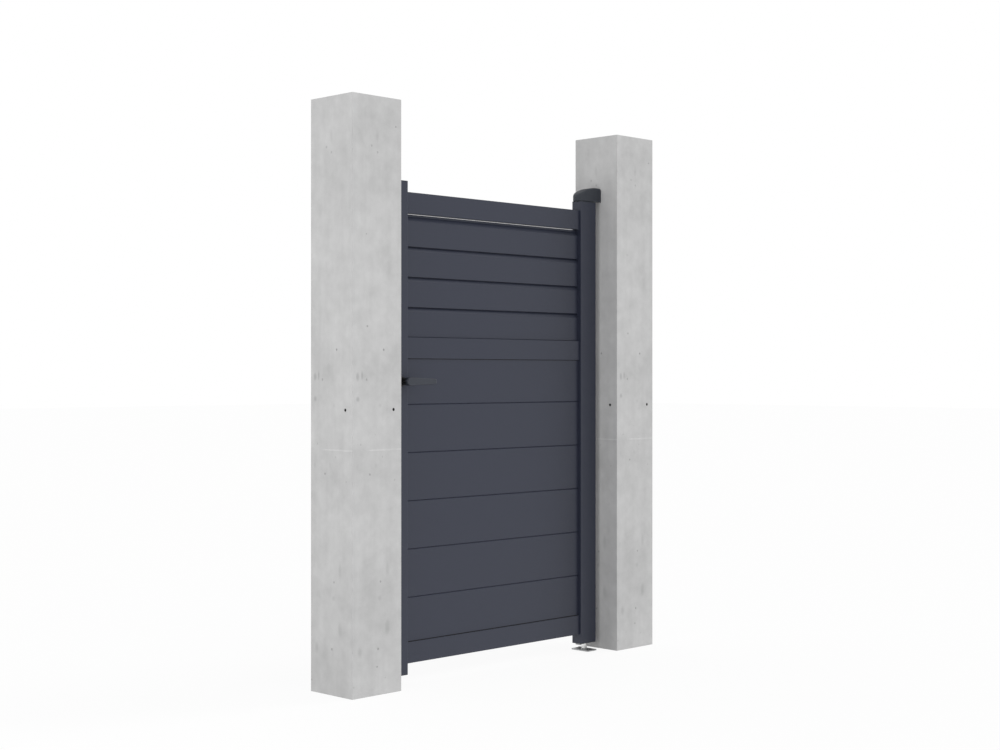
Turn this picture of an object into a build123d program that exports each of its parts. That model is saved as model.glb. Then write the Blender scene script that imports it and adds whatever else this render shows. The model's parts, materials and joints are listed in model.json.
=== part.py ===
from build123d import *
import os

# Pedestrian gate with a louvred and boarded leaf between two square concrete pillars, in millimetres.
# The origin is the centre of the hinge pillar's base. X runs along the gate towards the hinge side,
# Y towards the back and Z up.

# Pillars
pillar_width = 200
pillar_overtop = 187.5
pillar_chamfer = 1
opening_width = 1034

# Leaf frame
latch_gap = 19
hinge_gap = 25
ground_clearance = 27
stile_width = 80
stile_depth = 44
stile_corner = 3
stile_wall = 2
stile_overrun = 34
rail_height = 68
rail_lip = 4.7
rail_corner = 1
rail_wall = 2

# Boards below the middle rail
board_count = 6
board_pitch = 155
board_thickness = 16
board_wall = 1.5
board_chambers = 3
board_chamfer = 2.2
board_foot_seat = 12.5
board_head_seat = 7
tongue_thickness = 5
tongue_height = 8
slide_play = 0.3

# Louvres above the middle rail
louvre_count = 4
louvre_pitch = 97.3
louvre_overlap = 6.9
louvre_thickness = 6
louvre_setback = 2
louvre_slit = 3.4
louvre_bend_height = 15
louvre_wall = 1.4
louvre_nose = 2.2
louvre_air_gap = 1.9

# Stile end caps and pivots
cap_flange = 3
cap_edge = 1.2
cap_plug = 14
bush_bore_depth = 40
bush_end = 9
running_play = 0.05
seat_play = 0.3
upper_pin_radius = 8
upper_pin_head_lap = 4
upper_pin_head = 4
floor_pin_radius = 10

# Upper hinge bracket and its cover
cover_clearance = 1
cover_depth = 48
cover_reach = 47
cover_nose_height = 20
cover_pillar_height = 50
cover_crown_radius = 160
cover_wall = 3
cover_edge = 4
bracket_recess = 1
bracket_arm = 8
bracket_plate = 6
bracket_head_gap = 10

# Floor pivot plate
floor_plate_width = 50
floor_plate_thickness = 4
floor_plate_corner = 5
floor_hole_spacing = 42
floor_hole_edge = 19
floor_hole_radius = 4.25

# Lock and latch
lock_height = 966
lock_backset = 45
faceplate_thickness = 3
faceplate_width = 22
faceplate_height = 170
case_back_gap = 12
case_thickness = 16
case_height = 140
bolt_rise = 40
bolt_width = 12
bolt_height = 30
bolt_tail = 22
bolt_clearance = 5
bolt_bevel = 6

# Handle
spindle_side = 8
spindle_play = 1.3
spindle_socket = 26
rose_wall = 5
rose_thickness = 7
neck_radius = 12
lever_standoff = 40
lever_thickness = 12
lever_shoulder = 1.5
lever_tip_radius = 9.5
lever_length = 105
lever_edge = 4

# Keep and closing stop on the latch pillar
keep_thickness = 3
keep_height = 170
keep_back = 20
stop_lap = 10
stop_clearance = 5
buffer_thickness = 12
buffer_width = 14
buffer_height = 60
keep_hole_play = 2

# Places along the gate
hinge_face_x = -pillar_width / 2
latch_face_x = hinge_face_x - opening_width
latch_pillar_x = latch_face_x - pillar_width / 2
leaf_right = hinge_face_x - hinge_gap
leaf_left = latch_face_x + latch_gap
hinge_x = leaf_right - stile_width / 2
latch_stile_x = leaf_left + stile_width / 2
infill_left = leaf_left + stile_width
infill_length = leaf_right - stile_width - infill_left
spindle_x = leaf_left + lock_backset

# Heights, from the foot of the leaf up
tube_foot = ground_clearance + cap_flange
bottom_rail_foot = ground_clearance + stile_overrun
board_foot = bottom_rail_foot + rail_height - board_foot_seat
board_head = board_foot + board_count * board_pitch
middle_rail_foot = board_head - board_head_seat
louvre_foot = middle_rail_foot + rail_height
louvre_height = louvre_pitch + louvre_overlap
top_rail_foot = louvre_foot + louvre_count * louvre_pitch + louvre_overlap + louvre_air_gap
stile_head = top_rail_foot + rail_height + stile_overrun
tube_head = stile_head - cap_flange
cover_foot = stile_head + cover_clearance
pillar_height = cover_foot + cover_pillar_height + pillar_overtop

# Shared sections
stile_inner_width = stile_width - 2 * stile_wall
stile_inner_depth = stile_depth - 2 * stile_wall
stile_front = stile_depth / 2
slot_width = board_thickness + 2 * slide_play
rail_depth = slot_width + 2 * rail_lip
tongue_slot = tongue_height + slide_play
bush_plug = bush_bore_depth + bush_end - cap_flange
case_depth = stile_width - stile_wall - case_back_gap
bolt_reach = latch_gap - faceplate_thickness - keep_thickness - bolt_clearance
spindle_hole_radius = spindle_side / 2**0.5 + spindle_play


def pillar(centre_x):
    block = Pos(centre_x, 0, pillar_height / 2) * Box(pillar_width, pillar_width, pillar_height)
    upright = block.edges().filter_by(Axis.Z)
    rim = block.faces().sort_by(Axis.Z)[-1].edges()
    return chamfer(upright + rim, pillar_chamfer)


def along_gate(section):
    """A section drawn in Y and Z, run from stile to stile."""
    return extrude(Plane.YZ.offset(infill_left) * section, infill_length)


def rail(foot, slot_in_head=0, slot_in_foot=0):
    """A hollow rail with an open slot for the boards in its head or its foot."""
    outline = RectangleRounded(rail_depth, rail_height, rail_corner)
    floor = slot_in_foot + rail_wall
    roof = rail_height - slot_in_head - rail_wall
    chamber = Pos(0, (floor + roof - rail_height) / 2) * Rectangle(rail_depth - 2 * rail_wall, roof - floor)
    section = outline - chamber
    if slot_in_head:
        section -= Pos(0, (rail_height - slot_in_head) / 2) * Rectangle(slot_width, slot_in_head)
    if slot_in_foot:
        section -= Pos(0, (slot_in_foot - rail_height) / 2) * Rectangle(slot_width, slot_in_foot)
    return along_gate(Pos(0, foot + rail_height / 2) * section)


def board_section():
    """A hollow board with a tongue on its head, a slot in its foot and bevelled long edges."""
    body_height = board_pitch - slide_play
    body = Pos(0, board_pitch - body_height / 2) * Rectangle(board_thickness, body_height)
    section = chamfer(body.vertices(), board_chamfer)
    tongue_centre = board_pitch + (tongue_height - board_wall) / 2
    section += Pos(0, tongue_centre) * Rectangle(tongue_thickness, tongue_height + board_wall)
    section -= Pos(0, tongue_slot / 2) * Rectangle(tongue_thickness + 2 * slide_play, tongue_slot)
    floor = tongue_slot + board_wall
    head_wall = board_chamfer + board_wall * (2**0.5 - 1)
    step = (board_pitch - head_wall + board_wall - floor) / board_chambers
    chamber = Rectangle(board_thickness - 2 * board_wall, step - board_wall)
    for number in range(board_chambers):
        section -= Pos(0, floor + number * step + (step - board_wall) / 2) * chamber
    return section


def louvre_section():
    """A hollow upright blade whose head is bent back behind the foot of the blade above."""
    front = louvre_setback - board_thickness / 2
    back = front + louvre_thickness
    bend = louvre_thickness + louvre_slit
    knee = louvre_pitch - louvre_bend_height
    front_line = [(front, 0), (front, knee), (front + bend, louvre_pitch), (front + bend, louvre_height)]
    back_line = [(back + bend, louvre_height), (back + bend, louvre_pitch), (back, knee), (back, 0)]
    blade = make_face(Polyline(*front_line, *back_line, close=True))
    chamber = offset(blade, -louvre_wall, kind=Kind.INTERSECTION)
    foot = blade.vertices().sort_by(Axis.Y)[:2]
    return fillet(foot, louvre_nose) - chamber


def stile(centre_x):
    outline = RectangleRounded(stile_width, stile_depth, stile_corner)
    section = outline - Rectangle(stile_inner_width, stile_inner_depth)
    return extrude(Plane.XY.offset(tube_foot) * (Pos(centre_x, 0) * section), tube_head - tube_foot)


def stile_end(plug, bore_radius=0):
    """An end piece standing on Z = 0: a flange as large as the stile, a plug and a bore from below."""
    flange = extrude(RectangleRounded(stile_width, stile_depth, stile_corner), cap_flange)
    flange = chamfer(flange.faces().sort_by(Axis.Z)[0].edges(), cap_edge)
    plug_section = Rectangle(stile_inner_width - 2 * slide_play, stile_inner_depth - 2 * slide_play)
    piece = flange + extrude(Plane.XY.offset(cap_flange) * plug_section, plug)
    if bore_radius:
        piece -= extrude(Circle(bore_radius), bush_bore_depth)
    return piece


def at_foot(piece, centre_x):
    return Pos(centre_x, 0, ground_clearance) * piece


def at_head(piece, centre_x):
    return Pos(centre_x, 0, stile_head) * mirror(piece, about=Plane.XY)


def cover_plan(inset, overshoot=0):
    """The cover seen from above: a round nose towards the leaf and straight sides to the pillar."""
    half = cover_depth / 2 - inset
    nose_x = hinge_x - cover_reach + cover_depth / 2
    end_x = hinge_face_x + overshoot
    sides = Pos((nose_x + end_x) / 2, 0) * Rectangle(end_x - nose_x, 2 * half)
    return sides + Pos(nose_x, 0) * Circle(half)


def cover_crown(inset):
    """The round bar across the gate whose top is the cover's top, from the nose up to the pillar."""
    nose_head = Vector(hinge_x - cover_reach, cover_foot + cover_nose_height)
    pillar_head = Vector(hinge_face_x, cover_foot + cover_pillar_height)
    chord = pillar_head - nose_head
    drop = (cover_crown_radius**2 - (chord.length / 2) ** 2) ** 0.5
    centre = (nose_head + pillar_head) / 2 + chord.normalized().rotate(Axis.Z, -90) * drop
    return Pos(centre.X, 0, centre.Y) * Rot(90, 0, 0) * Cylinder(cover_crown_radius - inset, 2 * cover_depth)


def hinge_cover():
    """A shell open towards the pillar and below, with its upper edges bevelled."""
    prism = extrude(Plane.XY.offset(cover_foot) * cover_plan(0), 2 * cover_pillar_height)
    form = prism & cover_crown(0)
    rim = form.edges().filter_by(lambda edge: edge.center().Z > cover_foot + cover_nose_height / 2)
    rim = rim.filter_by(lambda edge: edge.bounding_box().size.X > cover_wall)
    hollow_plan = cover_plan(cover_wall, cover_wall)
    hollow = extrude(Plane.XY.offset(cover_foot - cover_wall) * hollow_plan, 2 * cover_pillar_height)
    return chamfer(rim, cover_edge) - (hollow & cover_crown(cover_wall))


def hinge_bracket():
    """A flat arm inside the cover, with an upright plate against the pillar."""
    foot = cover_foot + bracket_recess
    arm = extrude(Plane.XY.offset(foot) * cover_plan(cover_wall + slide_play), bracket_arm)
    plate_width = cover_depth - 2 * (cover_wall + slide_play)
    plate_height = cover_pillar_height - cover_wall - bracket_head_gap - bracket_recess
    plate_centre = Pos(hinge_face_x - bracket_plate / 2, 0, foot + plate_height / 2)
    plate = plate_centre * Box(bracket_plate, plate_width, plate_height)
    hole = Pos(hinge_x, 0, foot) * Cylinder(upper_pin_radius + running_play, 4 * bracket_arm)
    return arm + plate - hole


def upper_pin():
    """A pin hung by its six-sided head, through the bracket's arm, in the hinge stile's top bush."""
    seat = cover_foot + bracket_recess + bracket_arm
    tip = stile_head - bush_bore_depth + seat_play
    shank = extrude(Plane.XY.offset(tip) * Circle(upper_pin_radius), seat - tip)
    hexagon = RegularPolygon(upper_pin_radius + upper_pin_head_lap, 6)
    head = extrude(Plane.XY.offset(seat) * hexagon, upper_pin_head)
    return Pos(hinge_x, 0) * (shank + head)


def floor_plate():
    length = floor_hole_spacing + 2 * floor_hole_edge
    section = RectangleRounded(floor_plate_width, length, floor_plate_corner)
    hole = Circle(floor_hole_radius)
    for side in (-1, 1):
        section -= Pos(0, side * floor_hole_spacing / 2) * hole
    return Pos(hinge_x, 0) * extrude(section, floor_plate_thickness)


def floor_pin():
    tip = ground_clearance + bush_bore_depth - seat_play
    shank = extrude(Circle(floor_pin_radius), tip - floor_plate_thickness)
    return Pos(hinge_x, 0, floor_plate_thickness) * shank


def across_leaf(radius):
    """A round bar along Y at the spindle, long enough to pass through the leaf."""
    return Pos(spindle_x, 0, lock_height) * Rot(90, 0, 0) * Cylinder(radius, 2 * stile_depth)


def lock_recess():
    """The cut in the latch stile's outer wall for the lock case, and the spindle's holes."""
    recess_size = (case_thickness + 2 * slide_play, case_height + 2 * slide_play)
    recess = Pos(leaf_left, 0, lock_height) * Box(2 * stile_wall + slide_play, *recess_size)
    return recess + across_leaf(spindle_hole_radius)


def lock_case():
    """A faceplate on the stile's outer side and the case behind it, with the bolt's pocket."""
    plate_x = leaf_left - faceplate_thickness / 2
    plate = Pos(plate_x, 0, lock_height) * Box(faceplate_thickness, faceplate_width, faceplate_height)
    case = Pos(leaf_left + case_depth / 2, 0, lock_height) * Box(case_depth, case_thickness, case_height)
    pocket_depth = faceplate_thickness + bolt_tail
    pocket_x = leaf_left - faceplate_thickness + pocket_depth / 2
    pocket = Pos(pocket_x, 0, lock_height + bolt_rise) * Box(
        pocket_depth, bolt_width + 2 * slide_play, bolt_height + 2 * slide_play
    )
    return plate + case - pocket - across_leaf(spindle_hole_radius)


def latch_bolt():
    """A bevelled bolt, drawn back so that it stands only a little out of the faceplate."""
    length = bolt_tail + faceplate_thickness + bolt_reach
    centre_x = leaf_left + bolt_tail - length / 2
    bolt = Pos(centre_x, 0, lock_height + bolt_rise) * Box(length, bolt_width, bolt_height)
    nose = bolt.faces().sort_by(Axis.X)[0].edges().filter_by(Axis.Z).sort_by(Axis.Y)[0]
    return chamfer(nose, bolt_bevel)


def rose():
    """The outside bearing of the handle, flat on the stile."""
    seat = Plane.XZ.offset(stile_front)
    disc = extrude(seat * Circle(neck_radius + rose_wall), rose_thickness)
    bore = extrude(seat * Circle(neck_radius + running_play), rose_thickness)
    return Pos(spindle_x, 0, lock_height) * (disc - bore)


def lever():
    """The outside lever: a tapered arm with a rounded front on a round neck, with a square socket."""
    neck_plane = Plane.XZ.offset(stile_front + seat_play)
    arm_plane = Plane.XZ.offset(stile_front + lever_standoff)
    tip = Pos(lever_length, 0) * Rot(0, 0, 180) * Circle(lever_tip_radius)
    outline = make_hull(Circle(neck_radius + lever_shoulder).edges() + tip.edges())
    arm = extrude(arm_plane * outline, lever_thickness)
    arm = fillet(arm.faces().sort_by(Axis.Y)[0].edges(), lever_edge)
    neck = extrude(neck_plane * Circle(neck_radius), lever_standoff - seat_play)
    socket = extrude(neck_plane * Rectangle(spindle_side, spindle_side), spindle_socket)
    return Pos(spindle_x, 0, lock_height) * (arm + neck - socket)


def spindle():
    length = stile_depth + 2 * (seat_play + spindle_socket)
    return Pos(spindle_x, 0, lock_height) * Box(spindle_side, length, spindle_side)


def strike_keep():
    """A plate on the pillar with a hole for the bolt, and a lip that reaches in front of the leaf."""
    lip_back = -stile_front - stop_clearance - buffer_thickness
    lip_front = lip_back - keep_thickness
    lip_reach = latch_gap + stop_lap
    plate_centre = (keep_back + lip_front) / 2
    plate = Pos(latch_face_x + keep_thickness / 2, plate_centre, lock_height) * Box(
        keep_thickness, keep_back - lip_front, keep_height
    )
    lip = Pos(latch_face_x + lip_reach / 2, lip_back - keep_thickness / 2, lock_height) * Box(
        lip_reach, keep_thickness, keep_height
    )
    hole = Pos(latch_face_x, 0, lock_height + bolt_rise) * Box(
        4 * keep_thickness, bolt_width + 2 * keep_hole_play, bolt_height + 2 * keep_hole_play
    )
    return plate + lip - hole


def stop_buffer():
    """A rubber block on the back of the keep's lip, in line with the edge of the latch stile."""
    block_x = latch_face_x + latch_gap + stop_lap - buffer_width / 2
    block_y = -stile_front - stop_clearance - buffer_thickness / 2
    return Pos(block_x, block_y, lock_height) * Box(buffer_width, buffer_thickness, buffer_height)


def posts():
    return {
        "latch_pillar": pillar(latch_pillar_x),
        "hinge_pillar": pillar(0),
        "upper_hinge_cover": hinge_cover(),
        "upper_hinge_bracket": hinge_bracket(),
        "upper_pivot_pin": upper_pin(),
        "floor_pivot_plate": floor_plate(),
        "floor_pivot_pin": floor_pin(),
        "strike_keep": strike_keep(),
        "stop_buffer": stop_buffer(),
    }


def leaf():
    head_slot = board_head_seat + tongue_height + slide_play
    nodes = {
        "latch_stile": stile(latch_stile_x) - lock_recess(),
        "hinge_stile": stile(hinge_x),
        "top_rail": rail(top_rail_foot),
        "middle_rail": rail(middle_rail_foot, slot_in_foot=head_slot),
        "bottom_rail": rail(bottom_rail_foot, slot_in_head=board_foot_seat - slide_play),
        "latch_stile_top_cap": at_head(stile_end(cap_plug), latch_stile_x),
        "latch_stile_foot_cap": at_foot(stile_end(cap_plug), latch_stile_x),
        "hinge_stile_top_bush": at_head(stile_end(bush_plug, upper_pin_radius + running_play), hinge_x),
        "hinge_stile_foot_bush": at_foot(stile_end(bush_plug, floor_pin_radius + running_play), hinge_x),
        "lock_case": lock_case(),
        "latch_bolt": latch_bolt(),
        "outside_rose": rose(),
        "inside_rose": mirror(rose(), about=Plane.XZ),
    }
    board = along_gate(board_section())
    for number in range(board_count):
        nodes[f"board_{board_count - number}"] = Pos(0, 0, board_foot + number * board_pitch) * board
    louvre = along_gate(louvre_section())
    for number in range(louvre_count):
        nodes[f"louvre_{louvre_count - number}"] = Pos(0, 0, louvre_foot + number * louvre_pitch) * louvre
    return nodes


def handle():
    return {
        "outside_lever": lever(),
        "inside_lever": mirror(lever(), about=Plane.XZ),
        "handle_spindle": spindle(),
    }


os.makedirs("parts", exist_ok=True)
for name, shape in {**posts(), **leaf(), **handle()}.items():
    export_step(shape, f"parts/{name}.step")
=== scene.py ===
import json
import math

import bmesh
import bpy
from mathutils import Matrix, Vector

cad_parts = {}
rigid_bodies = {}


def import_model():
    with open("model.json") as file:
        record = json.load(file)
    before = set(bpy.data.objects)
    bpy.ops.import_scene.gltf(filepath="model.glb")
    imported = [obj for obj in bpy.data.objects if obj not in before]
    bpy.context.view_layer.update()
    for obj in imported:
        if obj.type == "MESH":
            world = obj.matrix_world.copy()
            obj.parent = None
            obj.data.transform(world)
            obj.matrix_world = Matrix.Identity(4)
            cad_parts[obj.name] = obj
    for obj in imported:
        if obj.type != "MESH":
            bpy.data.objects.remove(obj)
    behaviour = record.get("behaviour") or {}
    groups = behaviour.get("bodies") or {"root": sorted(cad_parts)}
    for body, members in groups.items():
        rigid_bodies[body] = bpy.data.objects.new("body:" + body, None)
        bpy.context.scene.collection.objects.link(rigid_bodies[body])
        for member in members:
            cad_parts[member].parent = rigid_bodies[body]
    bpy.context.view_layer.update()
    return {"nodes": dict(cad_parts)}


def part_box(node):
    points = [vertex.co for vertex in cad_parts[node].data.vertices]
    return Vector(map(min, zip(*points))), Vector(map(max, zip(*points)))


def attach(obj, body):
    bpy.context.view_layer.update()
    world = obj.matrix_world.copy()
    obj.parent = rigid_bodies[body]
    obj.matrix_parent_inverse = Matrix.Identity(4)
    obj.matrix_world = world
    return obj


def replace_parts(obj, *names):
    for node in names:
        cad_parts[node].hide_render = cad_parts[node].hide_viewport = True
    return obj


for leftover in list(bpy.data.objects):
    bpy.data.objects.remove(leftover)

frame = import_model()

MM = 0.001
FULL_TURN = 2 * math.pi
MERGE_DISTANCE = 0.000001
NEARLY = 0.01 * MM


def box_of(node_name):
    """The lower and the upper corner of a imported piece, in metres."""
    return [Vector(corner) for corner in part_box(node_name)]


def middle(box):
    return (box[0] + box[1]) / 2


HINGE_PILLAR = box_of("hinge_pillar")
LATCH_PILLAR = box_of("latch_pillar")
FLOOR_PLATE = box_of("floor_pivot_plate")
COVER = box_of("upper_hinge_cover")
KEEP = box_of("strike_keep")
BUFFER = box_of("stop_buffer")
FACEPLATE = box_of("lock_case")
LATCH_STILE = box_of("latch_stile")
HINGE_STILE = box_of("hinge_stile")
ROSE = box_of("outside_rose")


# Finishes


class Wire:
    """An output socket. Sums, differences, products and quotients of wires add Math nodes."""

    def __init__(self, finish, socket):
        self.finish = finish
        self.socket = socket

    def __add__(self, other):
        return self.finish.math("ADD", self, other)

    def __sub__(self, other):
        return self.finish.math("SUBTRACT", self, other)

    def __rsub__(self, other):
        return self.finish.math("SUBTRACT", other, self)

    def __mul__(self, other):
        return self.finish.math("MULTIPLY", self, other)

    def __truediv__(self, other):
        return self.finish.math("DIVIDE", self, other)

    def __abs__(self):
        return self.finish.math("ABSOLUTE", self)

    __radd__ = __add__
    __rmul__ = __mul__


class Finish:
    """A material whose nodes are added one by one and fed to its surface shader."""

    def __init__(self, name, tree=None):
        if tree is None:
            self.material = bpy.data.materials.new(name)
            self.material.use_nodes = True
            tree = self.material.node_tree
        self.tree = tree
        self.surface = tree.nodes.get("Principled BSDF")

    def node(self, kind, settings=None, sockets=None):
        """Adds a node, makes its settings and then feeds its sockets."""
        made = self.tree.nodes.new(kind)
        for key, value in (settings or {}).items():
            setattr(made, key, value)
        for key, value in (sockets or {}).items():
            self.feed(made.inputs[key], value)
        return made

    def feed(self, socket, value):
        if isinstance(value, Wire):
            self.tree.links.new(value.socket, socket)
        else:
            socket.default_value = value

    def wire(self, kind, output=0, settings=None, sockets=None):
        return Wire(self, self.node(kind, settings, sockets).outputs[output])

    def math(self, operation, *values):
        return self.wire("ShaderNodeMath", 0, {"operation": operation}, dict(enumerate(values)))

    def most(self, first, second):
        return self.math("MAXIMUM", first, second)

    def ramp(self, value, low, high, to_low=0.0, to_high=1.0):
        """The value taken smoothly from one range to another and held at its ends."""
        sockets = {"Value": value, "From Min": low, "From Max": high}
        sockets.update({"To Min": to_low, "To Max": to_high})
        return self.wire("ShaderNodeMapRange", 0, {"interpolation_type": "SMOOTHSTEP"}, sockets)

    def place(self, centre=(0, 0, 0), scale=(1, 1, 1)):
        """Object coordinates about a centre, stretched by a scale along each axis."""
        coordinates = self.wire("ShaderNodeTexCoord", "Object")
        shift = [-centre[axis] * scale[axis] for axis in range(3)]
        sockets = {"Vector": coordinates, "Location": shift, "Scale": scale}
        return self.wire("ShaderNodeMapping", 0, None, sockets)

    def parts(self, vector):
        split = self.node("ShaderNodeSeparateXYZ", None, {"Vector": vector})
        return [Wire(self, split.outputs[axis]) for axis in range(3)]

    def noise(self, where, scale, detail=3.0, roughness=0.5):
        sockets = {"Vector": where, "Scale": scale, "Detail": detail, "Roughness": roughness}
        return self.wire("ShaderNodeTexNoise", 0, None, sockets)

    def cells(self, where, scale, output="Distance"):
        return self.wire("ShaderNodeTexVoronoi", output, None, {"Vector": where, "Scale": scale})

    def blend(self, share, first, second):
        """One colour mixed into another."""
        made = self.node("ShaderNodeMix", {"data_type": "RGBA"}, {0: share, 6: first, 7: second})
        return Wire(self, made.outputs[2])

    def shaded(self, colour, factor):
        """A colour made lighter or darker by a factor that changes over the surface."""
        sockets = {0: colour, "Scale": factor}
        return self.wire("ShaderNodeVectorMath", 0, {"operation": "SCALE"}, sockets)

    def bump(self, height, depth, strength=1.0):
        sockets = {"Height": height, "Distance": depth, "Strength": strength}
        return self.wire("ShaderNodeBump", 0, None, sockets)

    def done(self, sockets):
        for key, value in sockets.items():
            self.feed(self.surface.inputs[key], value)
        return self.material


def opaque(red, green, blue):
    return (red, green, blue, 1)


CONCRETE_GREY = (0.505, 0.505, 0.505)
ANTHRACITE = (0.0214, 0.0257, 0.0445)
PLASTIC_GREY = (0.031, 0.036, 0.046)
# The neck's near black is partly the part's own black and partly painted shade between the arm and the
# rose
LEVER_NECK_BLACK_AND_SHADE = opaque(0.002, 0.002, 0.003)
LEVER_ARM_GREY = opaque(0.0245, 0.029, 0.041)
FASTENER_BLACK = (0.045, 0.046, 0.05)
RUBBER_BLACK = (0.012, 0.012, 0.013)
PLATE_ZINC = (0.34, 0.345, 0.35)
BOLT_ZINC = (0.16, 0.16, 0.165)
PIN_ZINC = (0.8, 0.8, 0.79)

# Marks that the formwork left on every face of a pillar, in millimetres: place across the face,
# height, half width, half height and the share of the tone that the mark takes away, which is painted
# shade inside the tie holes and small holes, and a stain's own darkness for the strokes
TIE_HOLES = [(67, 879, 5.2, 5.6, 0.97)]
SMALL_HOLES = [
    (-30, 681, 4.4, 4.6, 0.32),
    (71, 660, 4.0, 4.2, 0.16),
    (13, 349, 4.4, 4.8, 0.3),
    (3, 142, 4.4, 5.2, 0.36),
    (-23, 1690, 4.0, 5.0, 0.22),
    (1, 1672, 4.0, 5.0, 0.22),
    (-95, 36, 5.0, 4.0, 0.16),
    (-43, 972, 4.6, 5.4, 0.26),
    (26, 1064, 4.4, 5.0, 0.4),
    (-67, 773, 3.8, 4.4, 0.16),
    (21, 734, 3.8, 4.2, 0.14),
]
STROKES = [
    (-79, 981, 10, 18, 0.24),
    (-61, 985, 6, 20, 0.2),
    (-78, 912, 10, 12, 0.2),
    (0, 1720, 10, 26, 0.1),
    (42, 206, 14, 36, 0.13),
    (42, 385, 11, 32, 0.11),
    (10, 299, 11, 12, 0.11),
    (-70, 140, 13, 24, 0.14),
    (12, 892, 8, 9, 0.08),
    (-6, 708, 6, 13, 0.07),
    (-80, 706, 7, 14, 0.07),
]
# The share of a mark's half width that is at its full depth
TIE_HOLE_CORE = 0.75
SMALL_HOLE_CORE = 0.4
STROKE_CORE = 0.15
SEAM_HEIGHT = 755
PORE_SCALE = 26.0


def cast_concrete(name, box):
    """Pale cast concrete with clouds, streaks, pores, a formwork seam and tie holes, with painted
    shade in the holes and pores and a painted highlight on the chamfered corners.
    """
    finish = Finish(name)
    axis = middle(box)
    here = finish.place((axis.x, axis.y, 0))
    x, y, z = finish.parts(here)
    across_x, across_y, _ = finish.parts(finish.wire("ShaderNodeTexCoord", "Normal"))
    across = across_x * y - across_y * x
    clouds = finish.noise(here, 4.2, 5.0, 0.55)
    mottle = finish.noise(here, 24.0, 4.0, 0.6)
    speck = finish.noise(here, 420.0, 2.0, 0.6)
    streaks = finish.noise(finish.place((axis.x, axis.y, 0), (30, 30, 1.6)), 1.0, 4.0, 0.6)
    tone = 1 + (clouds - 0.5) * 0.36 + (mottle - 0.5) * 0.3
    tone = tone + (speck - 0.5) * 0.1 + (streaks - 0.5) * 0.17
    pit = 0
    kinds = ((TIE_HOLES, TIE_HOLE_CORE), (SMALL_HOLES, SMALL_HOLE_CORE), (STROKES, STROKE_CORE))
    for marks, core in kinds:
        for place, height, half_width, half_height, depth in marks:
            aside = (across - place * MM) / (half_width * MM)
            above = (z - height * MM) / (half_height * MM)
            distance = finish.math("SQRT", aside * aside + above * above)
            mark = finish.ramp(distance, core, 1.0, depth, 0.0)
            # Painted shade inside the tie holes and small holes; the strokes darken as stains
            tone = tone * (1 - mark)
            if marks is not STROKES:
                pit = mark + pit
    pore_chance = finish.parts(finish.cells(here, PORE_SCALE, "Color"))[0]
    pore_radius = finish.ramp(pore_chance, 0.72, 1.0, 0.0, 0.085)
    pores = finish.ramp(finish.cells(here, PORE_SCALE) - pore_radius, 0.0, 0.02, 1.0, 0.0)
    # Painted shade inside the pores
    tone = tone * (1 - pores * 0.3)
    seam_wave = (finish.noise(here, 9.0, 2.0) - 0.5) * 0.004
    seam = finish.ramp(abs(z - SEAM_HEIGHT * MM + seam_wave), 0.001, 0.0035, 1.0, 0.0)
    seam_breaks = finish.ramp(finish.noise(here, 14.0, 2.0), 0.3, 0.43)
    seam = seam * finish.ramp(across, -0.05, -0.02) * seam_breaks
    tone = tone + seam * 0.13
    # Painted highlight: the chamfered corners are made lighter, as if they caught the light
    painted_corner_highlight = abs(across_x * across_y) * 2
    tone = tone + painted_corner_highlight * 0.03
    grain = speck * 0.25 + mottle * 0.5 - pores * 2 - pit * 4 + seam * 0.8
    return finish.done({
        "Base Color": finish.shaded(CONCRETE_GREY, tone),
        "Roughness": 0.86 + (mottle - 0.5) * 0.2,
        "Specular IOR Level": 0.25,
        "Normal": finish.bump(grain, 0.0008, 0.6),
    })


def powder_coat():
    """Anthracite powder coat with a fine sand texture."""
    finish = Finish("anthracite_powder_coat")
    here = finish.place()
    sand = finish.noise(here, 1500.0, 2.0, 0.6)
    peel = finish.noise(here, 260.0, 2.0, 0.5)
    drift = finish.noise(here, 2.3, 3.0, 0.5)
    tone = 1 + (drift - 0.5) * 0.1 + (sand - 0.5) * 0.22 + (peel - 0.5) * 0.08
    return finish.done({
        "Base Color": finish.shaded(ANTHRACITE, tone),
        "Roughness": 0.46 + (sand - 0.5) * 0.2 + (drift - 0.5) * 0.08,
        "Normal": finish.bump(sand * 0.6 + peel, 0.00012, 0.5),
    })


def moulded_plastic():
    """Dark grey moulded plastic with a fine spark-eroded grain."""
    finish = Finish("moulded_end_plastic")
    here = finish.place()
    grain = finish.cells(here, 1300.0)
    drift = finish.noise(here, 14.0, 3.0)
    along = finish.place((0, 0, 0), (40, 40, 160))
    scuffs = finish.ramp(finish.noise(along, 1.0, 5.0, 0.7), 0.6, 0.78)
    tone = 1 + (drift - 0.5) * 0.16 + (grain - 0.4) * 0.14 + scuffs * 0.1
    return finish.done({
        "Base Color": finish.shaded(PLASTIC_GREY, tone),
        "Roughness": 0.56 + (grain - 0.4) * 0.16 - scuffs * 0.06,
        "Specular IOR Level": 0.35,
        "Normal": finish.bump(grain, 0.0001, 0.5),
    })


def zinc_steel(name, colour, stretch):
    """Zinc plated steel with crystal patches, and scratches drawn out by a stretch along each axis."""
    finish = Finish(name)
    here = finish.place()
    flakes = finish.parts(finish.cells(here, 240.0, "Color"))[0]
    drawn = finish.noise(finish.place((0, 0, 0), stretch), 1.0, 4.0, 0.65)
    dull = finish.ramp(finish.noise(here, 60.0, 4.0, 0.6), 0.45, 0.75)
    tone = 1 + (flakes - 0.5) * 0.12 + (drawn - 0.5) * 0.25 - dull * 0.12
    return finish.done({
        "Base Color": finish.shaded(colour, tone),
        "Metallic": 1 - dull * 0.25,
        "Roughness": 0.34 + dull * 0.22 + (drawn - 0.5) * 0.2,
        "Normal": finish.bump(drawn + flakes * 0.3, 0.00006, 0.5),
    })


# How far from the leaf's middle the lever's neck ends and its arm starts
NECK_END = 60.5 * MM
ARM_START = 62.5 * MM


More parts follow.
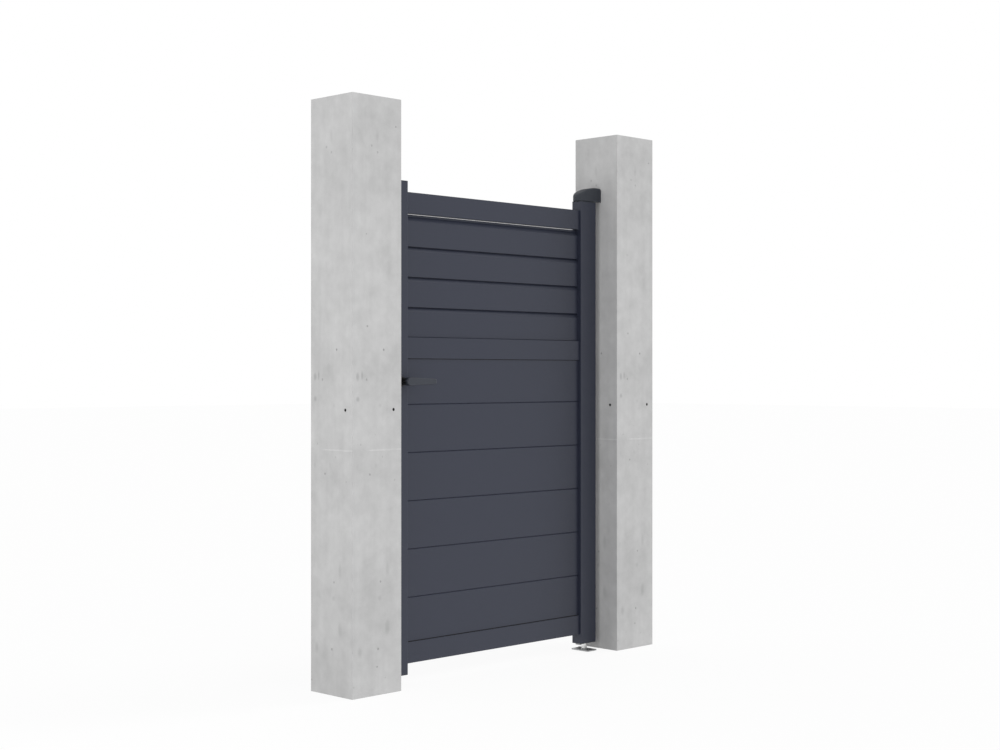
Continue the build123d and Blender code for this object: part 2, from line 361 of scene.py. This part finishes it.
def handle_black():
    """Satin lacquer on a cast lever: black on the neck, deepened there by painted shade, greyer on the
    arm, faintly rubbed.
    """
    finish = Finish("satin_black_lacquer")
    here = finish.place()
    fine = finish.noise(here, 900.0, 2.0, 0.5)
    rubbed = finish.ramp(finish.noise(here, 55.0, 4.0, 0.6), 0.5, 0.8)
    from_leaf = abs(finish.parts(here)[1])
    arm = finish.ramp(from_leaf, NECK_END, ARM_START)
    tone = 1 + (fine - 0.5) * 0.3 + rubbed * 0.25
    # The neck takes black deepened by painted shade, the arm takes grey
    colour = finish.blend(arm, LEVER_NECK_BLACK_AND_SHADE, LEVER_ARM_GREY)
    return finish.done({
        "Base Color": finish.shaded(colour, tone),
        "Roughness": 0.5 - arm * 0.08 - rubbed * 0.08 + (fine - 0.5) * 0.1,
        "Normal": finish.bump(fine, 0.00005, 0.4),
    })


def black_steel():
    """Blackened fasteners with bare metal showing through in places."""
    finish = Finish("blackened_fastener_steel")
    here = finish.place()
    worn = finish.ramp(finish.noise(here, 420.0, 4.0, 0.7), 0.6, 0.8)
    fine = finish.noise(here, 1400.0, 2.0, 0.5)
    tone = 1 + (fine - 0.5) * 0.3 + worn * 1.4
    return finish.done({
        "Base Color": finish.shaded(FASTENER_BLACK, tone),
        "Metallic": 0.5 + worn * 0.3,
        "Roughness": 0.5 - worn * 0.12,
        "Normal": finish.bump(fine, 0.00005, 0.4),
    })


def buffer_rubber():
    """Black rubber with a chalky bloom."""
    finish = Finish("buffer_rubber_moulded")
    here = finish.place()
    bloom = finish.ramp(finish.noise(here, 90.0, 4.0, 0.6), 0.4, 0.75)
    grain = finish.noise(here, 1100.0, 2.0, 0.6)
    tone = 1 + bloom * 0.5 + (grain - 0.5) * 0.3
    return finish.done({
        "Base Color": finish.shaded(RUBBER_BLACK, tone),
        "Roughness": 0.78 + bloom * 0.12,
        "Specular IOR Level": 0.2,
        "Normal": finish.bump(grain, 0.0001, 0.6),
    })


coat = powder_coat()
plastic = moulded_plastic()
plate_steel = zinc_steel("zinc_plate_steel", PLATE_ZINC, (30, 900, 900))
bolt_steel = zinc_steel("dull_bolt_steel", BOLT_ZINC, (300, 300, 300))
pin_steel = zinc_steel("bright_pin_steel", PIN_ZINC, (900, 900, 30))
lacquer = handle_black()
fastener = black_steel()
rubber = buffer_rubber()

finishes = {
    "powder_coat": coat,
    "end_plastic": plastic,
    "steel": plate_steel,
    "handle_black": lacquer,
    "buffer_rubber": rubber,
}
own_finishes = {
    "hinge_pillar": cast_concrete("hinge_pillar_concrete", HINGE_PILLAR),
    "latch_pillar": cast_concrete("latch_pillar_concrete", LATCH_PILLAR),
    "floor_pivot_pin": pin_steel,
    "upper_pivot_pin": pin_steel,
    "latch_bolt": pin_steel,
}
for node_name, node in frame["nodes"].items():
    for holder in node.material_slots:
        holder.material = own_finishes.get(node_name) or finishes[holder.material.name]


# Pieces that the solids leave to the scene

SHARP_ANGLE = math.radians(38)


def add_piece(name, mesh_work, finish, body):
    """Makes a piece of the mesh that was worked up, and lets it ride on its body."""
    bmesh.ops.remove_doubles(mesh_work, verts=mesh_work.verts, dist=MERGE_DISTANCE)
    bmesh.ops.recalc_face_normals(mesh_work, faces=mesh_work.faces)
    mesh = bpy.data.meshes.new(name)
    mesh_work.to_mesh(mesh)
    mesh_work.free()
    mesh.shade_smooth()
    mesh.set_sharp_from_angle(angle=SHARP_ANGLE)
    mesh.materials.append(finish)
    piece = bpy.data.objects.new(name, mesh)
    bpy.context.scene.collection.objects.link(piece)
    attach(piece, body)
    return piece


def turn(mesh_work, profile, steps=32):
    """Spins a profile of radii and heights, in millimetres, once round Z."""
    points = [mesh_work.verts.new((radius * MM, 0, height * MM)) for radius, height in profile]
    lines = [mesh_work.edges.new(pair) for pair in zip(points, points[1:])]
    bmesh.ops.spin(
        mesh_work, geom=points + lines, cent=(0, 0, 0), axis=(0, 0, 1), angle=FULL_TURN,
        steps=steps, use_merge=True,
    )
    bmesh.ops.remove_doubles(mesh_work, verts=mesh_work.verts, dist=MERGE_DISTANCE)


def soften(mesh_work, edges, width, segments):
    """Rounds edges by a width in millimetres."""
    bmesh.ops.bevel(
        mesh_work, geom=edges, offset=width * MM, offset_type="OFFSET", affect="EDGES",
        segments=segments, profile=0.5, material=-1, clamp_overlap=True,
    )


def slice_through(mesh_work, place, facing):
    """Cuts every face along a plane and keeps both sides."""
    everything = [*mesh_work.verts, *mesh_work.edges, *mesh_work.faces]
    bmesh.ops.bisect_plane(
        mesh_work, geom=everything, dist=MERGE_DISTANCE, plane_co=place, plane_no=facing
    )


def stand(mesh_work, place, facing=(0, 0, 1)):
    """Turns what was made round Z to face another way and moves it to its place."""
    turned = Vector((0, 0, 1)).rotation_difference(Vector(facing)).to_matrix().to_4x4()
    bmesh.ops.transform(mesh_work, matrix=Matrix.Translation(place) @ turned, verts=mesh_work.verts)


def anchor_bolt(name, place):
    """A hexagon bolt on a washer, through the floor plate."""
    head_radius = 6.4 * MM
    head_height = 3.6 * MM
    head_middle = 3.0 * MM
    work = bmesh.new()
    bmesh.ops.create_cone(
        work, cap_ends=True, segments=6, radius1=head_radius, radius2=head_radius, depth=head_height,
        matrix=Matrix.Translation((0, 0, head_middle)),
    )
    top = [edge for edge in work.edges if all(vert.co.z > head_middle for vert in edge.verts)]
    soften(work, top, 0.9, 2)
    shank = [(0, -3.9), (4.1, -3.9), (4.1, 0)]
    washer = [(7.7, 0), (7.9, 0.2), (7.9, 1.0), (7.7, 1.2), (0, 1.2)]
    turn(work, shank + washer)
    stand(work, place)
    return add_piece(name, work, bolt_steel, "posts")


def dome_screw(name, place, facing, radius, height, finish, body):
    """A low dome head with a drive recess, its radius and height in millimetres."""
    work = bmesh.new()
    recess = 0.36 * radius
    profile = [
        (0, 0.25 * height), (0.7 * recess, 0.3 * height),
        (recess, 0.38 * height), (recess, 0.95 * height),
        (0.55 * radius, 0.9 * height), (0.78 * radius, 0.72 * height),
        (0.94 * radius, 0.42 * height), (radius, 0.12 * height),
        (radius, 0), (0, 0),
    ]
    turn(work, profile, 24)
    stand(work, place, facing)
    return add_piece(name, work, finish, body)


def hole_plug(name, place, facing):
    """A push-in plastic plug over a rail's fixing screw."""
    dome = [(0, 1.5), (3.6, 1.45), (5.6, 1.2), (6.6, 0.7), (7, 0.1), (7, 0), (0, 0)]
    work = bmesh.new()
    turn(work, dome, 28)
    stand(work, place, facing)
    return add_piece(name, work, plastic, "leaf")


# Floor pivot: bolts through the plate and a weld round the pin's foot
BOLT_FROM_PIVOT = 21 * MM
plate_top = FLOOR_PLATE[1].z
pivot_x = middle(FLOOR_PLATE).x
for side, side_name in ((-1, "front"), (1, "back")):
    bolt_place = Vector((pivot_x, side * BOLT_FROM_PIVOT, plate_top))
    anchor_bolt(f"floor_anchor_bolt_{side_name}", bolt_place)
weld_bead = [(10.05, 2.4), (10.6, 2.3), (11.5, 1.6), (12.1, 0.7), (12.3, 0), (10.05, 0)]
weld = bmesh.new()
turn(weld, weld_bead + weld_bead[:1], 40)
stand(weld, Vector((pivot_x, 0, plate_top)))
add_piece("floor_pin_weld", weld, plate_steel, "posts")

# Lock and keep: a screw near the lower and the upper end of each
KEEP_PLATE = 3 * MM
KEEP_SCREW_BACK = 6 * MM
KEEP_SCREW_MARGIN = 14 * MM
FACEPLATE_SCREW_MARGIN = 9.8 * MM
for end, inward, level_name in ((0, 1, "lower"), (1, -1, "upper")):
    keep_height = KEEP[end].z + inward * KEEP_SCREW_MARGIN
    keep_place = Vector((KEEP[0].x + KEEP_PLATE, KEEP_SCREW_BACK, keep_height))
    dome_screw(f"keep_screw_{level_name}", keep_place, (1, 0, 0), 4.2, 2.4, fastener, "posts")
    face_height = FACEPLATE[end].z + inward * FACEPLATE_SCREW_MARGIN
    face_place = Vector((FACEPLATE[0].x, 0, face_height))
    dome_screw(f"faceplate_screw_{level_name}", face_place, (-1, 0, 0), 3.6, 1.2, fastener, "leaf")

# Rails: two plugs at each end of each rail, on the outer sides of the stiles
PLUG_RISE = 19 * MM
plug_sides = ((LATCH_STILE[0].x, -1, "latch"), (HINGE_STILE[1].x, 1, "hinge"))
for rail_name in ("top_rail", "middle_rail", "bottom_rail"):
    rail_middle = middle(box_of(rail_name))
    for rise, rise_name in ((-PLUG_RISE, "lower"), (PLUG_RISE, "upper")):
        for stile_side, facing, stile_name in plug_sides:
            plug_place = Vector((stile_side, 0, rail_middle.z + rise))
            plug_name = f"{rail_name}_{stile_name}_plug_{rise_name}"
            hole_plug(plug_name, plug_place, (facing, 0, 0))


def board_seal_as_shade(name, rail_edge, up, front, radius):
    """A quarter-round black rubber bead in the corner between a rail's edge and the boards beside it,
    a seal that also stands for the shade that falls in that corner.
    """
    work = bmesh.new()
    board = box_of("board_1")
    corner = Vector((board[0].x, front * board[1].y, rail_edge))
    rim = work.verts.new(corner + Vector((0, 0, up * radius)))
    arc = bmesh.ops.spin(
        work, geom=[rim], cent=corner, axis=(up * front, 0, 0), angle=-FULL_TURN / 4, steps=5
    )["geom_last"]
    tip = [item for item in arc if isinstance(item, bmesh.types.BMVert)][0]
    heel = work.verts.new(corner)
    work.edges.new((tip, heel))
    work.edges.new((heel, rim))
    section = bmesh.ops.contextual_create(work, geom=list(work.edges))["faces"]
    raised = bmesh.ops.extrude_face_region(work, geom=section)["geom"]
    far_end = [item for item in raised if isinstance(item, bmesh.types.BMVert)]
    bmesh.ops.translate(work, vec=(board[1].x - board[0].x, 0, 0), verts=far_end)
    return add_piece(name, work, rubber, "leaf")


LOWER_SEAL_RADIUS = 2.1 * MM
UPPER_SEAL_RADIUS = 1.6 * MM
boards_foot = box_of("bottom_rail")[1].z
boards_head = box_of("middle_rail")[0].z
# Black beads along the rails' edges against the boards: seals that also serve as painted shade in
# those corners
for front, side_name in ((-1, "front"), (1, "back")):
    board_seal_as_shade(f"lower_board_seal_{side_name}", boards_foot, 1, front, LOWER_SEAL_RADIUS)
    board_seal_as_shade(f"upper_board_seal_{side_name}", boards_head, -1, front, UPPER_SEAL_RADIUS)

# Handle: roses with rounded rims, and a grub screw under each neck, in millimetres
ROSE_BORE = 12.05
ROSE_RIM_ROUND = 2.6
GRUB_FROM_LEAF = 46
GRUB_BELOW_NECK = 11.9
rose_radius = (ROSE[1].x - ROSE[0].x) / 2 / MM
rose_height = (ROSE[1].y - ROSE[0].y) / MM
rose_section = [(rose_radius, 0), (rose_radius, rose_height), (ROSE_BORE, rose_height), (ROSE_BORE, 0)]
grub_section = [(0, -0.6), (1.3, -0.5), (1.3, 0.35), (1.9, 0.45), (2.5, 0.2), (2.6, -0.8), (0, -0.8)]


def on_rose_rim(edge):
    """Whether an edge of a rose lies round the outside of its upper face."""
    return all(
        vert.co.z > 0.9 * rose_height * MM and vert.co.xy.length > 0.95 * rose_radius * MM
        for vert in edge.verts
    )


for side, side_name in ((-1, "outside"), (1, "inside")):
    rose = bmesh.new()
    turn(rose, [(ROSE_BORE, 0), *rose_section], 64)
    soften(rose, [edge for edge in rose.edges if on_rose_rim(edge)], ROSE_RIM_ROUND, 5)
    seat = middle(box_of(f"{side_name}_rose"))
    stand(rose, Vector((seat.x, side * LATCH_STILE[1].y, seat.z)), (0, side, 0))
    rounded_rose = add_piece(f"{side_name}_rose_rounded", rose, lacquer, "leaf")
    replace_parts(rounded_rose, f"{side_name}_rose")
    grub = bmesh.new()
    turn(grub, grub_section, 18)
    grub_place = Vector((seat.x, side * GRUB_FROM_LEAF * MM, seat.z - GRUB_BELOW_NECK * MM))
    stand(grub, grub_place, (0, 0, -1))
    add_piece(f"{side_name}_grub_screw", grub, fastener, "handle")


COVER_NOSE_HEIGHT = 20 * MM
COVER_PILLAR_HEIGHT = 50 * MM
CROWN_RADIUS = 160 * MM
COVER_EDGE_ROUND = 9
COVER_WALL = 2.4 * MM
COVER_SLICES = 28


def crown_height(x):
    """The cover's top above a place along the gate: an arc from the nose up to the pillar."""
    nose = Vector((COVER[0].x, COVER[0].z + COVER_NOSE_HEIGHT))
    pillar = Vector((COVER[1].x, COVER[0].z + COVER_PILLAR_HEIGHT))
    chord = pillar - nose
    across = Vector((chord.y, -chord.x)).normalized()
    to_centre = math.sqrt(CROWN_RADIUS ** 2 - (chord.length / 2) ** 2)
    centre = (nose + pillar) / 2 + across * to_centre
    return centre.y + math.sqrt(CROWN_RADIUS ** 2 - (x - centre.x) ** 2)


def rounded_cover():
    """The upper hinge's cover as a moulded shell with a round along its upper edge."""
    work = bmesh.new()
    half = (COVER[1].y - COVER[0].y) / 2
    nose_x = COVER[0].x + half
    foot = COVER[0].z
    start = work.verts.new((nose_x, -half, foot))
    bmesh.ops.spin(
        work, geom=[start], cent=(nose_x, 0, foot), axis=(0, 0, -1), angle=FULL_TURN / 2, steps=36
    )
    ends = [vert for vert in work.verts if abs(vert.co.x - nose_x) < NEARLY]
    front_end, back_end = sorted(ends, key=lambda vert: vert.co.y)
    corners = [work.verts.new((COVER[1].x, vert.co.y, foot)) for vert in (front_end, back_end)]
    work.edges.new((front_end, corners[0]))
    work.edges.new((back_end, corners[1]))
    work.edges.new(corners)
    base = bmesh.ops.contextual_create(work, geom=list(work.edges))["faces"]
    raised = bmesh.ops.extrude_face_region(work, geom=base)["geom"]
    lifted = [item for item in raised if isinstance(item, bmesh.types.BMVert)]
    flat_height = 40 * MM
    bmesh.ops.translate(work, vec=(0, 0, flat_height), verts=lifted)
    below = [face for face in work.faces if face.calc_center_median().z < foot + NEARLY]
    beside = [face for face in work.faces if face.calc_center_median().x > COVER[1].x - NEARLY]
    bmesh.ops.delete(work, geom=below + beside, context="FACES")
    half_way = foot + 0.5 * flat_height
    rim = [
        edge for edge in work.edges
        if len(edge.link_faces) == 2 and all(vert.co.z > half_way for vert in edge.verts)
    ]
    soften(work, rim, COVER_EDGE_ROUND, 6)
    for number in range(1, COVER_SLICES):
        cut = COVER[0].x + number * (COVER[1].x - COVER[0].x) / COVER_SLICES
        slice_through(work, (cut, 0, 0), (1, 0, 0))
    for vert in work.verts:
        if vert.co.z > half_way:
            vert.co.z += crown_height(vert.co.x) - foot - flat_height
    bmesh.ops.recalc_face_normals(work, faces=work.faces)
    bmesh.ops.solidify(work, geom=list(work.faces), thickness=COVER_WALL)
    return add_piece("upper_hinge_cover_rounded", work, plastic, "posts")


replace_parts(rounded_cover(), "upper_hinge_cover")


GROOVES = 5
GROOVE_HALF_WIDTH = 1.5 * MM
GROOVE_DEPTH = 2 * MM
BUFFER_EDGE_ROUND = 1.2


def level_corner(edge):
    """Whether a level edge lies between two faces that meet about squarely."""
    if not edge.is_manifold or edge.calc_face_angle() <= math.radians(80):
        return False
    return abs(edge.verts[0].co.z - edge.verts[1].co.z) < MM


def ribbed_buffer():
    """The closing stop's rubber block, with rounded edges and grooves across its face."""
    work = bmesh.new()
    size = BUFFER[1] - BUFFER[0]
    block = Matrix.Translation(middle(BUFFER)) @ Matrix.Diagonal((*size, 1))
    bmesh.ops.create_cube(work, size=1, matrix=block)
    for number in range(1, GROOVES + 1):
        level = BUFFER[0].z + number * size.z / (GROOVES + 1)
        for offset in (-GROOVE_HALF_WIDTH, 0, GROOVE_HALF_WIDTH):
            slice_through(work, (0, 0, level + offset), (0, 0, 1))
        for vert in work.verts:
            if abs(vert.co.z - level) < NEARLY and vert.co.y > BUFFER[1].y - NEARLY:
                vert.co.y -= GROOVE_DEPTH
    soften(work, [edge for edge in work.edges if level_corner(edge)], BUFFER_EDGE_ROUND, 3)
    return add_piece("stop_buffer_ribbed", work, rubber, "posts")


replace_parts(ribbed_buffer(), "stop_buffer")


# Studio: floor, light and camera

WHITE = opaque(1, 1, 1)
FLOOR_PAPER = opaque(0.78, 0.78, 0.78)
FLOOR_SHOWN_PAPER = opaque(0.85, 0.85, 0.85)
FLOOR_GLOW_SHARE = 0.92
FLOOR_REACH = 40
WORLD_LIGHT = 0.8


def white_to_the_eye(finish, light, shown):
    """A shader that lights as the first and is seen, also in mirrors and glass, as the second."""
    seen = finish.wire("ShaderNodeLightPath", "Is Camera Ray")
    for kind in ("Is Glossy Ray", "Is Transmission Ray"):
        seen = finish.most(seen, finish.wire("ShaderNodeLightPath", kind))
    return finish.wire("ShaderNodeMixShader", 0, None, {0: seen, 1: light, 2: shown})


def studio_floor():
    finish = Finish("studio_floor")
    paper = finish.wire("ShaderNodeBsdfDiffuse", 0, None, {"Color": FLOOR_PAPER})
    glow = finish.wire("ShaderNodeEmission", 0, None, {"Color": WHITE, "Strength": 1.0})
    white_paper = finish.wire("ShaderNodeBsdfDiffuse", 0, None, {"Color": FLOOR_SHOWN_PAPER})
    shown = finish.wire("ShaderNodeMixShader", 0, None, {0: FLOOR_GLOW_SHARE, 1: white_paper, 2: glow})
    output = finish.tree.nodes["Material Output"]
    finish.feed(output.inputs["Surface"], white_to_the_eye(finish, paper, shown))
    work = bmesh.new()
    bmesh.ops.create_grid(work, x_segments=8, y_segments=8, size=FLOOR_REACH)
    mesh = bpy.data.meshes.new("studio_floor")
    work.to_mesh(mesh)
    work.free()
    mesh.materials.append(finish.material)
    floor = bpy.data.objects.new("studio_floor", mesh)
    bpy.context.scene.collection.objects.link(floor)


def studio_world():
    world = bpy.data.worlds.new("studio_white")
    world.use_nodes = True
    finish = Finish("studio_white", world.node_tree)
    light = finish.wire("ShaderNodeBackground", 0, None, {"Color": WHITE, "Strength": WORLD_LIGHT})
    shown = finish.wire("ShaderNodeBackground", 0, None, {"Color": WHITE, "Strength": 1.0})
    output = world.node_tree.nodes["World Output"]
    finish.feed(output.inputs["Surface"], white_to_the_eye(finish, light, shown))
    bpy.context.scene.world = world


def hang_lamp(lamp, place, aim):
    """Puts a lamp at its place, turned to its aim, and keeps its outline out of the reflections."""
    holder = bpy.data.objects.new(lamp.name, lamp)
    holder.location = place
    holder.rotation_euler = (Vector(aim) - Vector(place)).to_track_quat("-Z", "Y").to_euler()
    holder.visible_glossy = False
    bpy.context.scene.collection.objects.link(holder)


def left_lamp():
    """A square softbox beside the latch pillar."""
    lamp = bpy.data.lights.new("left_lamp", "AREA")
    lamp.shape = "SQUARE"
    lamp.size = 2.5
    lamp.energy = 49
    hang_lamp(lamp, (-5.2, -0.9, 1.2), (-0.9, 0, 1.0))


def right_light():
    """A broad distant light that rakes along the front of the gate from the hinge side."""
    lamp = bpy.data.lights.new("right_light", "SUN")
    lamp.angle = math.radians(24)
    lamp.energy = 2.3
    hang_lamp(lamp, (9.5, -3.1, 2.4), (0, 0, 0))


studio_floor()
studio_world()
left_lamp()
right_light()

camera_data = bpy.data.cameras.new("photo_camera")
camera_data.sensor_width = 36
camera_data.lens = 58.51
camera = bpy.data.objects.new("photo_camera", camera_data)
camera.location = (-4.530627, -3.883491, 0.986278)
camera.rotation_euler = (math.radians(90), 0, math.radians(-45.386))
bpy.context.scene.collection.objects.link(camera)
bpy.context.scene.camera = camera
bpy.context.scene.view_settings.view_transform = "Standard"
